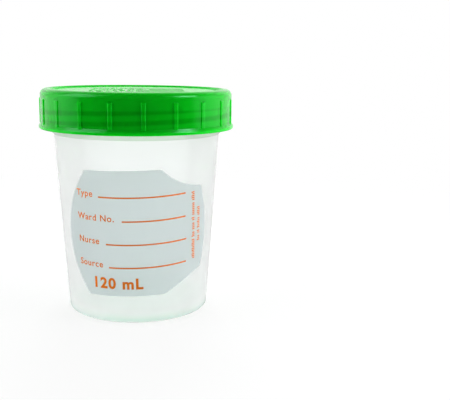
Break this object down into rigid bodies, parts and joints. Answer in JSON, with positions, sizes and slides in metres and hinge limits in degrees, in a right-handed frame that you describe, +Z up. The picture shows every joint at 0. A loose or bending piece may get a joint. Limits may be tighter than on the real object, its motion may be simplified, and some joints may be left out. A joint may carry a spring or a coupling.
{
  "type": "specimen container",
  "caption": "Tapered translucent cup with a one-piece ribbed screw lid, plug seal and printed film label, for collecting and carrying a liquid sample.",
  "frame": {"origin": "centre of the cup's foot, on the surface that it stands on", "axes": "+Z up along the cup's axis, label facing -Y"},
  "size_m": [0.065, 0.065, 0.0743],
  "materials": {
    "cup_plastic": "satin",
    "lid_plastic": "gloss",
    "label_film": "matte"
  },
  "bodies": {
    "container": {"cup": "cup_plastic", "label": "label_film"},
    "cap": {"lid": "lid_plastic"}
  },
  "joints": [
    {"name": "lid_lift", "type": "slide", "parent": "container", "child": "cap", "axis": [0, 0, 1], "range_m": [0, 0.03]}
  ]
}
